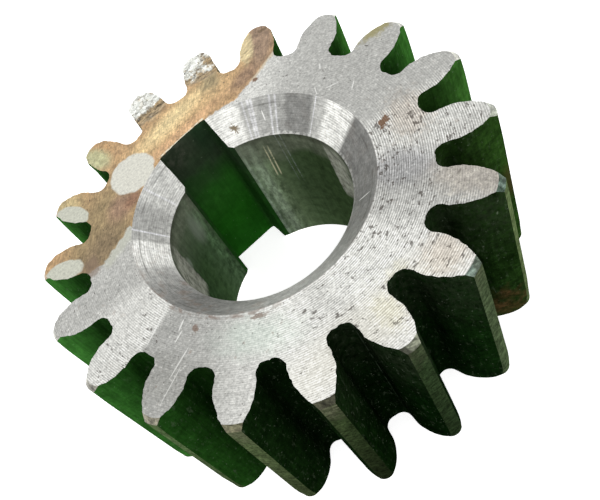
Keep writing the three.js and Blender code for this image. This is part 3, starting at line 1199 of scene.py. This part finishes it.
def flank_dust(look, colour):
    """Grey wear near the front, a rusty edge, a thin film and dust."""
    place = look.place
    worn = look.times(look.ease(place.z, 12.0, 24.0), look.ease(place.cosine, -0.6, 0.1))
    worn = look.times(worn, look.ease(place.sine, -0.45, -0.8))
    worn = look.times(worn, look.ease(look.noise(place.point, 1.4, 5.0, 0.7), 0.3, 0.7))
    colour = look.paint(colour, worn, srgb(42, 50, 36), 0.5)
    edge_rust = look.times(
        look.blob(26.0, -13.0, 9.0, 3.0, 60, soft=0.5, z=14.0), look.ease(place.radius, 28.8, 30.0)
    )
    colour = look.paint(colour, edge_rust, srgb(62, 50, 30), 0.6)
    film = look.ease(
        look.noise(look.combine(place.x, place.y, look.times(place.z, 0.4)), 1.6, 4.0, 0.7),
        0.56,
        0.74,
    )
    colour = look.paint(colour, film, srgb(92, 104, 84), 0.22)
    dust = look.ease(look.noise(place.point, 2.6, 3.0), 0.66, 0.76)
    colour = look.paint(colour, dust, srgb(150, 162, 142), 0.22)
    return colour


def flank_rust(look, colour):
    """Rust at the back end of one tooth, and a painted highlight along a ridge at the foot of
    another.
    """
    place = look.place
    rust = look.blob(16.2, -21.2, 3.0, 3.0, -52, soft=0.8, ragged=1.0, z=2.6, grain=0.6)
    rust_colour = look.shade(srgb(72, 52, 32), look.noise(place.point, 1.6, 5.0, 0.75), 3.0)
    broken = look.ease(look.noise(place.point, 0.9, 5.0, 0.7), 0.34, 0.6, 0.25, 0.8)
    colour = look.mix(look.times(rust, broken), colour, rust_colour)
    skin = look.times(look.spoke(-54.0, 5.0, 4.0), look.ease(place.z, 2.6, 0.4))
    colour = look.paint(colour, skin, srgb(34, 50, 20), 0.5)
    # Painted highlight along the ridge.
    ridge = look.times(look.spoke(-96.2, 0.04, 0.14), look.ease(place.z, 2.0, 12.0, 0.2, 1.0))
    ridge = look.times(ridge, look.ease(look.noise(place.point, 0.9, 3.0), 0.35, 0.6))
    colour = look.mix(ridge, colour, srgb(44, 54, 42))
    return colour


def flank(name):
    """Hobbed tooth spaces, dark green as painted reflection, with fine marks along the teeth and
    dust.
    """
    look = Looks(name)
    place = look.place
    # Painted reflection: green surroundings seen in the steel, light on the far side, dark near.
    colour = look.by_angle(
        (-90, srgb(4, 18, 3)), (-62, srgb(12, 30, 8)), (-45, srgb(26, 44, 15)),
        (-28, srgb(34, 60, 20)), (-15, srgb(46, 82, 32)), (0, srgb(46, 90, 34)),
        (60, srgb(46, 90, 34)), (150, srgb(46, 92, 36)), (180, srgb(46, 92, 36)),
        (200, srgb(30, 66, 22)), (212, srgb(22, 52, 15)), (222, srgb(17, 38, 11)),
        (232, srgb(9, 24, 6)), (256, srgb(5, 18, 3)), (270, srgb(4, 17, 3)),
    )
    # Painted shade: darker towards the roots of the tooth spaces.
    rise = look.plus(place.radius, look.wobble(0.5, 0.5))
    low = look.by_angle(
        (-90, 0.9), (-60, 0.7), (-10, 0.4), (180, 0.4), (210, 0.6), (240, 0.8), (270, 0.9)
    )
    low = look.maths(
        "MULTIPLY_ADD", look.maths("SUBTRACT", 1.1, low), look.ease(rise, 23.5, 29.6), low
    )
    colour = look.tint(colour, low)
    hob = look.combine(look.times(place.x, 2.6), look.times(place.y, 2.6),
                       look.times(place.z, 0.28))
    hob = look.noise(hob, 1.0, 4.0, 0.6)
    colour = look.shade(colour, hob, 1.4)
    mottling = look.by_angle(
        (-90, 2.4), (-40, 2.6), (-10, 1.2), (60, 1.0), (180, 1.0), (215, 1.4), (240, 2.2),
        (270, 2.4),
    )
    patches = look.noise(place.point, 0.4, 5.0, 0.65)
    colour = look.shade(colour, patches, mottling)
    colour = look.shade(colour, look.noise(place.point, 1.8, 4.0, 0.75), mottling)
    colour = flank_dust(look, colour)
    colour = flank_rust(look, colour)
    # The rough ends carry the painted lump and crack shading.
    ends, ends_colour = rough_ends(look)
    colour = look.mix(look.times(ends, look.ease(place.z, 22.0, 24.0)), colour, ends_colour)
    return look.finish(
        colour, look.ease(hob, 0.3, 0.7, 0.5, 0.65), hob, 0.03, 0.0, Specular_IOR_Level=0.0
    )


def diagonal_marks(look, per_mm):
    """Turning marks that run across a tooth's land with a slant, 0 to 1."""
    arc = look.times(look.place.degrees, math.radians(1) * TIP_RADIUS)
    slant = math.radians(18)
    across = look.maths(
        "MULTIPLY_ADD", look.place.z, math.cos(slant), look.times(arc, math.sin(slant))
    )
    along = look.maths(
        "MULTIPLY_ADD", arc, math.cos(slant), look.times(look.place.z, -math.sin(slant))
    )
    strokes = look.combine(look.times(across, per_mm), look.times(along, per_mm / 6), 0.0)
    return look.noise(strokes, 1.0, 4.0, 0.65)


def land(name):
    """The turned tops of the teeth, grey-green with slanting marks."""
    look = Looks(name)
    # Painted light: the lands are lighter on the far side and darker on the near side.
    colour = look.by_angle(
        (-90, srgb(34, 47, 27)), (-72, srgb(58, 70, 48)), (-66, srgb(62, 74, 50)),
        (-52, srgb(80, 94, 60)), (-30, srgb(84, 100, 66)), (0, srgb(72, 96, 60)),
        (90, srgb(84, 92, 74)), (180, srgb(70, 94, 58)), (225, srgb(66, 78, 50)),
        (240, srgb(54, 64, 40)), (252, srgb(36, 47, 26)), (270, srgb(34, 47, 27)),
    )
    marks = look.ease(diagonal_marks(look, 2.6), 0.34, 0.66)
    colour = look.shade(colour, marks, 0.5)
    colour = look.shade(
        colour, look.ease(look.noise(look.place.point, 2.2, 5.0, 0.8), 0.34, 0.66), 1.0
    )
    colour = look.shade(colour, look.noise(look.place.point, 0.6, 3.0), 1.2)
    # Painted light: the lands darken or lighten by angle towards the back.
    deep = look.by_angle(
        (-90, 0.75), (-76, 1.0), (-66, 1.1), (-50, 0.85), (180, 0.75), (235, 0.65), (252, 0.4),
        (270, 0.75),
    )
    fade = look.ease(look.place.z, 22.0, 4.0)
    colour = look.tint(
        colour, look.maths("MULTIPLY_ADD", look.maths("SUBTRACT", deep, 1.0), fade, 1.0)
    )
    near_end = look.ease(look.plus(look.place.z, look.wobble(0.7, 1.6)), 21.0, 25.6)
    scuffed = look.by_angle(
        (-90, 0.25), (-72, 0.35), (-50, 0.1), (-30, 0.0), (210, 0.0), (222, 0.6), (255, 0.7),
        (270, 0.25),
    )
    scuff_colour = look.shade(
        srgb(80, 82, 64), look.ease(diagonal_marks(look, 3.4), 0.36, 0.64), 0.9
    )
    scuff_colour = look.shade(
        scuff_colour, look.ease(look.noise(look.place.point, 2.4, 4.0, 0.8), 0.34, 0.66), 0.9
    )
    colour = look.mix(look.times(near_end, scuffed), colour, scuff_colour)
    return look.finish(
        colour, look.ease(marks, 0.3, 0.7, 0.4, 0.55), marks, 0.03, 0.0, Specular_IOR_Level=0.0
    )


def tip_chamfer(name):
    """The small facets between the faces and the lands."""
    look = Looks(name)
    # Partly painted light: greys by angle follow the face's painted highlights; the brown is the
    # stain.
    colour = look.by_angle(
        (-90, srgb(70, 72, 62)), (-70, srgb(94, 104, 92)), (-50, srgb(72, 90, 78)),
        (-34, srgb(150, 156, 142)), (-22, srgb(194, 194, 184)), (50, srgb(186, 186, 178)),
        (60, srgb(150, 126, 98)), (150, srgb(150, 126, 98)), (165, srgb(170, 170, 165)),
        (205, srgb(140, 136, 122)), (230, srgb(112, 110, 88)), (242, srgb(84, 84, 66)),
        (250, srgb(72, 72, 58)), (262, srgb(68, 68, 58)), (270, srgb(70, 72, 62)),
    )
    disc = look.blob(0.5, -29.6, 0.95, 0.95, 0, soft=0.15, ragged=0.1, z=26.1)
    colour = look.paint(colour, disc, srgb(136, 140, 122), 0.9)
    # Painted glints on two facets.
    glint_5 = look.blob(18.95, -22.9, 0.28, 0.7, 40, soft=0.5, ragged=0.2)
    glint_6 = look.blob(9.6, -28.0, 0.6, 0.6, 20, soft=0.5, ragged=0.2)
    colour = look.paint(colour, look.larger(glint_5, glint_6), srgb(156, 178, 166), 0.5)
    marks = look.ease(diagonal_marks(look, 3.0), 0.34, 0.66)
    colour = look.shade(colour, marks, 0.9)
    colour = look.shade(
        colour, look.ease(look.noise(look.place.point, 1.8, 4.0, 0.7), 0.32, 0.68), 0.9
    )
    return look.finish(colour, look.ease(marks, 0.3, 0.7, 0.36, 0.5), marks, 0.02, 0.9)


def back_face(name):
    """The turned face at the other end."""
    look = Looks(name)
    lines = look.feed_lines(0.27)
    streaks = look.streaks(2.4, 9.0)
    colour = look.shade(SMOOTH_GREY, lines, 0.25)
    colour = look.shade(colour, streaks, 0.6)
    colour = look.shade(colour, look.noise(look.place.point, 4.5, 3.0, 0.7), 0.5)
    height = look.plus(lines, streaks)
    return look.finish(
        colour, look.ease(streaks, 0.3, 0.7, 0.34, 0.48), height, 0.012, 1.0, Anisotropic=0.5
    )


MATERIALS = {
    "front_face": front_face,
    "bore_chamfer": bore_chamfer,
    "bore_wall": bore_wall,
    "keyway": keyway,
    "flank": flank,
    "land": land,
    "tip_chamfer": tip_chamfer,
    "back_face": back_face,
}


# ---------------------------------------------------------------- studio

CAMERA_DISTANCE = 97.45
CAMERA_AZIMUTH, CAMERA_ELEVATION = -100.35, 46.52
LOOK_AZIMUTH, LOOK_ELEVATION = 90.47, -52.80
CAMERA_ROLL = -42.67
CAMERA_LENS = 46.97
CAMERA_SHIFT = 0.125


def direction(azimuth, elevation):
    a, e = math.radians(azimuth), math.radians(elevation)
    return Vector((math.cos(a) * math.cos(e), math.sin(a) * math.cos(e), math.sin(e)))


def add_camera():
    """The camera stands CAMERA_DISTANCE from the middle of the front face."""
    data = bpy.data.cameras.new("camera")
    data.sensor_width = 36
    data.lens = CAMERA_LENS
    data.shift_x = data.shift_y = CAMERA_SHIFT
    data.clip_start, data.clip_end = 0.005, 20
    camera = bpy.data.objects.new("camera", data)
    look = direction(LOOK_AZIMUTH, LOOK_ELEVATION)
    right = look.cross(Vector((0, 0, 1))).normalized()
    level = Matrix((right, right.cross(look), -look)).transposed()
    turned = level @ Matrix.Rotation(math.radians(CAMERA_ROLL), 3, "Z")
    aim = Vector((0, 0, FACE_WIDTH))
    place = aim + CAMERA_DISTANCE * direction(CAMERA_AZIMUTH, CAMERA_ELEVATION)
    camera.matrix_world = Matrix.Translation(place * MM) @ turned.to_4x4()
    bpy.context.scene.collection.objects.link(camera)
    bpy.context.scene.camera = camera


def add_floor():
    mesh = bmesh.new()
    bmesh.ops.create_grid(mesh, x_segments=1, y_segments=1, size=2.0)
    data = bpy.data.meshes.new("floor")
    mesh.to_mesh(data)
    mesh.free()
    floor = bpy.data.objects.new("floor", data)
    floor.location.z = -0.02 * MM
    bpy.context.scene.collection.objects.link(floor)
    nodes = Nodes("pale_floor")
    nodes.shader.inputs["Emission Color"].default_value = (1, 1, 1, 1)
    nodes.finish((0.9, 0.9, 0.9, 1), 0.8, Emission_Strength=0.8, Specular_IOR_Level=0.0)
    data.materials.append(nodes.material)


def add_softbox(name, azimuth, elevation, distance, width, height, power):
    data = bpy.data.lights.new(name, "AREA")
    data.shape = "RECTANGLE"
    data.size, data.size_y = width, height
    data.energy = power
    lamp = bpy.data.objects.new(name, data)
    away = direction(azimuth, elevation)
    lamp.location = away * distance
    lamp.rotation_mode = "QUATERNION"
    lamp.rotation_quaternion = away.to_track_quat("Z", "Y")
    bpy.context.scene.collection.objects.link(lamp)


def add_light():
    world = bpy.data.worlds.new("studio")
    bpy.context.scene.world = world
    world.use_nodes = True
    world.node_tree.nodes["Background"].inputs["Color"].default_value = (1, 1, 1, 1)
    world.node_tree.nodes["Background"].inputs["Strength"].default_value = 1.0
    add_softbox("window", -170, 40, 0.6, 0.3, 0.3, 0.25)


def main():
    add_camera()
    add_light()
    add_floor()
    bpy.context.scene.view_settings.view_transform = "Standard"
    gear = build_gear()
    for surface in SURFACES:
        gear.data.materials.append(MATERIALS[surface](surface))
    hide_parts("gear")
    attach(gear, "root")


main()
